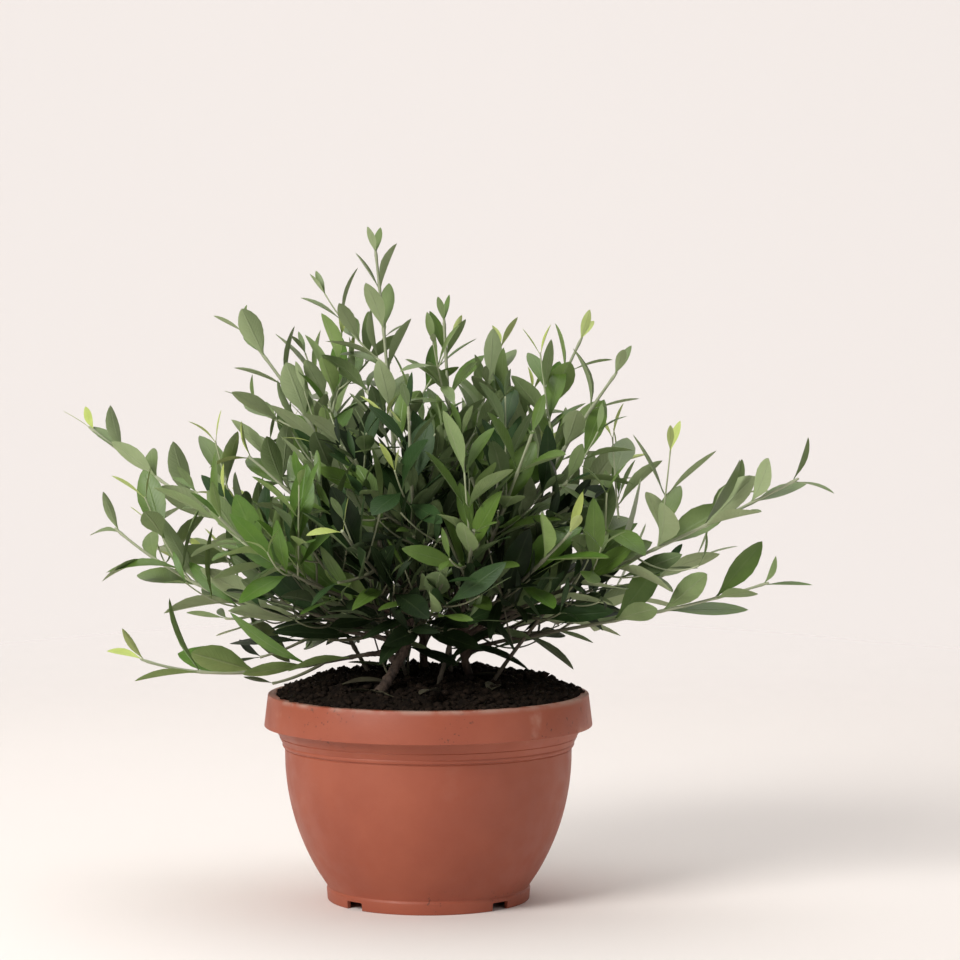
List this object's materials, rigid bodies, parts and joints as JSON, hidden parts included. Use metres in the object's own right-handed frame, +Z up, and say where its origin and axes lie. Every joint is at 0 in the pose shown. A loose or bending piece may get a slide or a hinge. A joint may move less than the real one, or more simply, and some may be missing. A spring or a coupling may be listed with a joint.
{
  "type": "potted olive tree",
  "caption": "Young potted olive tree: a low, many-stemmed bush of narrow grey-green leaves in opposite pairs, growing from soil in a round plastic bowl pot.",
  "frame": {"origin": "on the pot's vertical axis, at the level the pot stands on", "axes": "+Z up, -Y towards the viewer of the front, +X to the viewer's right, along the crown's widest reach"},
  "size_m": [0.4764, 0.2592, 0.4236],
  "materials": {
    "pot": "moulded plastic in a terracotta colour, matt",
    "soil": "moist dark potting soil, crumbly",
    "bark": "young grey-brown bark",
    "foliage": "leathery leaves, dark green above and silvery green below"
  },
  "bodies": {
    "root": {"pot": "pot", "soil": "soil", "trunk": "bark", "stem_right": "bark", "stem_rear": "bark", "bough_left_high": "bark", "leaves_left_high": "foliage", "bough_left_mid": "bark", "leaves_left_mid": "foliage", "bough_left_low": "bark", "leaves_left_low": "foliage", "bough_left_front": "bark", "leaves_left_front": "foliage", "bough_left_inner": "bark", "leaves_left_inner": "foliage", "bough_top_left": "bark", "leaves_top_left": "foliage", "bough_top": "bark", "leaves_top": "foliage", "bough_top_mid": "bark", "leaves_top_mid": "foliage", "bough_top_right": "bark", "leaves_top_right": "foliage", "bough_top_back": "bark", "leaves_top_back": "foliage", "bough_right_up": "bark", "leaves_right_up": "foliage", "bough_right_mid": "bark", "leaves_right_mid": "foliage", "bough_right_high": "bark", "leaves_right_high": "foliage", "bough_right_low": "bark", "leaves_right_low": "foliage", "bough_right_front": "bark", "leaves_right_front": "foliage", "bough_front_up": "bark", "leaves_front_up": "foliage", "bough_front_low": "bark", "leaves_front_low": "foliage", "bough_front_left": "bark", "leaves_front_left": "foliage", "bough_front_right": "bark", "leaves_front_right": "foliage", "bough_back_left": "bark", "leaves_back_left": "foliage", "bough_back_left_up": "bark", "leaves_back_left_up": "foliage", "bough_back": "bark", "leaves_back": "foliage", "bough_back_up": "bark", "leaves_back_up": "foliage", "bough_back_right": "bark", "leaves_back_right": "foliage", "bough_right_back": "bark", "leaves_right_back": "foliage", "leaves_inner_right": "foliage", "leaves_inner_left": "foliage", "leaves_inner_front": "foliage", "leaves_inner_back": "foliage"}
  },
  "joints": []
}
